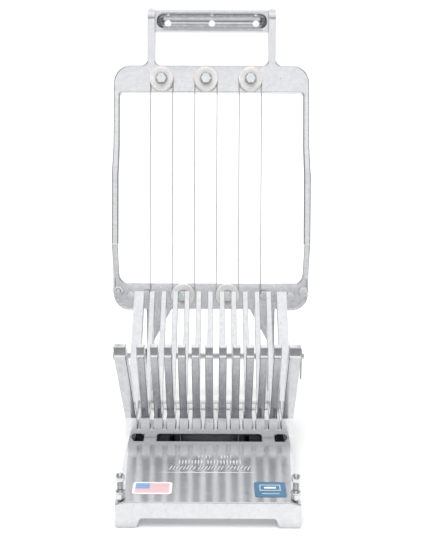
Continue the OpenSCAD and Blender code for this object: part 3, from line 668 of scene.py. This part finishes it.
def ease_spikes(piece, surface, width, rounds=8):
    """Takes the rounding off the few edges that fold a face or throw it clear of the part's own surface."""
    mesh = piece.data
    weights = mesh.attributes["bevel_weight_edge"].data
    for _ in range(rounds):
        shown = piece.evaluated_get(bpy.context.evaluated_depsgraph_get())
        result = shown.to_mesh()
        spikes = [(place, width) for place in folded_places(result)]
        for vert in result.vertices:
            off = surface.find_nearest(vert.co)[3]
            if off > 0.6 * width:
                spikes.append((vert.co.copy(), off))
        shown.to_mesh_clear()
        if not spikes:
            return
        near = KDTree(len(spikes))
        for k, (place, _) in enumerate(spikes):
            near.insert(place, k)
        near.balance()
        for edge in mesh.edges:
            ends = [mesh.vertices[k].co for k in edge.vertices]
            for place in (*ends, (ends[0] + ends[1]) / 2):
                _, k, away = near.find(place)
                if away < 1.5 * width + 1.2 * spikes[k][1] and weights[edge.index].value > 0:
                    eased = 0.4 * weights[edge.index].value
                    weights[edge.index].value = eased if eased > 0.15 else 0
                    break
        mesh.update()
        piece.update_tag()


def arc(centre, radius, start, end, count):
    """Points of an arc in a plane, angles in degrees."""
    turns = [math.radians(start + (end - start) * k / count) for k in range(count + 1)]
    return [(centre[0] + radius * math.cos(a), centre[1] + radius * math.sin(a)) for a in turns]


def skin(bm, rings):
    """Faces between one ring of vertices and the next, closed at both ends."""
    for one, two in zip(rings, rings[1:]):
        for n in range(len(one)):
            after = (n + 1) % len(one)
            bm.faces.new((one[n], one[after], two[after], two[n]))
    bm.faces.new(rings[0][::-1])
    bm.faces.new(rings[-1])


def tube_mesh(name, points, side, radius, around=12):
    """A round wire along points that lie in one plane, with side as that plane's normal."""
    bm = bmesh.new()
    loops = []
    for k, point in enumerate(points):
        ahead = (points[min(k + 1, len(points) - 1)] - points[max(k - 1, 0)]).normalized()
        out = ahead.cross(side)
        loops.append([
            bm.verts.new(point + radius * (math.cos(t) * out + math.sin(t) * side))
            for t in (2 * math.pi * n / around for n in range(around))
        ])
    skin(bm, loops)
    bmesh.ops.recalc_face_normals(bm, faces=bm.faces)
    return mesh_from(bm, name)


def arm_place(point):
    """The x and u of a place, in millimetres."""
    return (point.x - HINGE.x) / MM, (point - HINGE).dot(ARM_UP) / MM


def cutting_wire():
    """The wire's zig-zag over the rollers, with a loop round each clamp."""
    tops = [arm_place(Vector(JOINTS[f"top_roller_{side}_spin"]["pos_m"])) for side in ("left", "middle", "right")]
    lows = [arm_place(Vector(JOINTS[f"bottom_roller_{side}_spin"]["pos_m"])) for side in ("left", "right")]
    level = (Vector(JOINTS["top_roller_left_spin"]["pos_m"]) - HINGE).dot(ARM_OUT) / MM
    half = lows[0][0] - tops[0][0] - SLOT_PITCH
    clamps = [(tops[0][0] - half - CLAMP_LOOP_R, CLAMP_U), (tops[2][0] + half + CLAMP_LOOP_R, CLAMP_U)]
    route = arc(clamps[0], CLAMP_LOOP_R, -250, 0, 24)
    for k, top in enumerate(tops):
        route += arc(top, half, 180, 0, 28)
        if k < len(lows):
            route += arc(lows[k], half, 180, 360, 28)
    route += arc(clamps[1], CLAMP_LOOP_R, 180, 430, 24)
    points = [on_arm(x, u, level) for x, u in route]
    mesh = tube_mesh("cutting_wire_finish", points, ARM_OUT, WIRE_R * MM)
    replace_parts(add_piece("cutting_wire_finish", mesh, "frame", "steel_wire"), "cutting_wire")


def hairpin():
    """The clip: a straight leg through the pin, a round end, a springy leg and a bow behind the pin."""
    low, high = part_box("hairpin_clip")
    place = Vector(((low[0] + high[0]) / 2, HINGE.y, HINGE.z))
    loop_r, drop, bow_r, bow_turn = 2.2, 19, 3.6, 50
    bow_end = (bow_r * math.cos(math.radians(bow_turn)), bow_r * math.sin(math.radians(bow_turn)))
    route = [(0, 6), (0, 2), (0, -8)] + arc((loop_r, -drop), loop_r, 180, 360, 20)
    route += [(2 * loop_r - 1.0, -11.5), (2 * loop_r - 1.5, -8)] + arc((0, 0), bow_r, -bow_turn, bow_turn, 20)
    route += [(bow_end[0] + 0.6, bow_end[1] + 0.9), (bow_end[0] + 1.4, bow_end[1] + 2.4)]
    points = [place + MM * Vector((0, y, z)) for y, z in route]
    mesh = tube_mesh("hairpin_finish", points, Vector((1, 0, 0)), (high[0] - low[0]) / 2)
    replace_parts(add_piece("hairpin_finish", mesh, "pin", "spring_steel"), "hairpin_clip")


def raised_oval(bm, centre, half, height, slant=0.0, around=16, rings=3):
    """A low dome standing on a flat face, closed underneath."""
    loops = []
    for ring in range(rings + 1):
        lift = 0.5 * math.pi * ring / (rings + 0.6)
        spread, rise = math.cos(lift), math.sin(lift) * height
        loop = []
        for n in range(around):
            turn = 2 * math.pi * n / around
            y = half[1] * spread * math.sin(turn)
            x = half[0] * spread * math.cos(turn) + slant * y
            loop.append(bm.verts.new((centre[0] + x, centre[1] + y, centre[2] + rise)))
        loops.append(loop)
    skin(bm, loops)


def deck_beading():
    """Plain cast beading in the middle of the deck: three rows of beads over a thin rule."""
    low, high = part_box("left_label")
    top = low[2] - 0.02 * MM
    bm = bmesh.new()
    # each row: its y, half a bead's length and width, height, slant, and (from x, to x, how many) for each group
    rows = (
        (-83.5, (2.6, 0.75), 1.0, 0.0, ((-7.0, 0.5, 4), (9.0, 15.5, 4))),
        (-92.5, (3.4, 0.8), 1.0, 0.0, ((-20.5, -5.0, 8), (-0.5, 22.0, 11))),
        (-102.5, (3.2, 0.55), 0.9, 0.35, ((-26.0, -9.5, 8), (-6.0, 9.5, 8), (13.5, 28.0, 7))),
    )
    for y, (half_y, half_x), height, slant, groups in rows:
        for start, end, count in groups:
            for k in range(count):
                x = start + (end - start) * k / (count - 1)
                length = half_y * (1 if k % 3 else 1.15)
                raised_oval(bm, (x * MM, y * MM, top), (half_x * MM, length * MM), height * MM, slant)
    raised_oval(bm, (-1.5 * MM, -110 * MM, top), (36 * MM, 0.35 * MM), 0.25 * MM, around=32)
    bmesh.ops.recalc_face_normals(bm, faces=bm.faces)
    # the beads wear the copy of the deck's finish with painted glints
    add_piece("deck_beading", mesh_from(bm, "deck_beading"), "base", "cast_base", "beading")


# Millimetres: the slots' pitch, the wire clamps' place up the frame, the loop round a clamp, half the wire's
# thickness, and the widest ring of edges that counts as a bore's rim
SLOT_PITCH = 9.525
CLAMP_U = 55
CLAMP_LOOP_R = SLOT_PITCH / 3.3
WIRE_R = 0.4
RIM_MM = 6.6
FINISH = {"stop_screws": "post_steel", "stop_nuts": "post_steel", "stop_washers": "post_steel"}
CASTINGS = ("base_casting", "finger_cradle", "arm_frame", "hinge_yoke")
# How far the corners of each node are rounded
EDGE_MM = {
    "base_casting": 0.9, "finger_cradle": 0.6, "arm_frame": 0.9, "hinge_yoke": 0.8,
    "cradle_bolts": 0.25, "cradle_washers": 0.15, "cheek_bolts": 0.2, "stop_screws": 0.12,
    "stop_nuts": 0.25, "stop_washers": 0.2, "left_label": 0.05, "right_label": 0.05,
    "corner_bolts": 0.35, "corner_nuts": 0.3, "yoke_bolts": 0.3, "yoke_nuts": 0.3,
    "roller_bolts": 0.4, "roller_spacers": 0.15, "roller_washers": 0.15, "roller_nuts": 0.3,
    "clamp_screws": 0.3, "clamp_collars": 0.2, "clamp_washers": 0.15, "clamp_nuts": 0.3,
    "hinge_pin": 0.3, "top_roller_left": 0.25, "top_roller_middle": 0.25, "top_roller_right": 0.25,
    "bottom_roller_left": 0.25, "bottom_roller_right": 0.25,
}
for node, edge_mm in EDGE_MM.items():
    rounded_copy(node, edge_mm)
cutting_wire()
hairpin()
deck_beading()
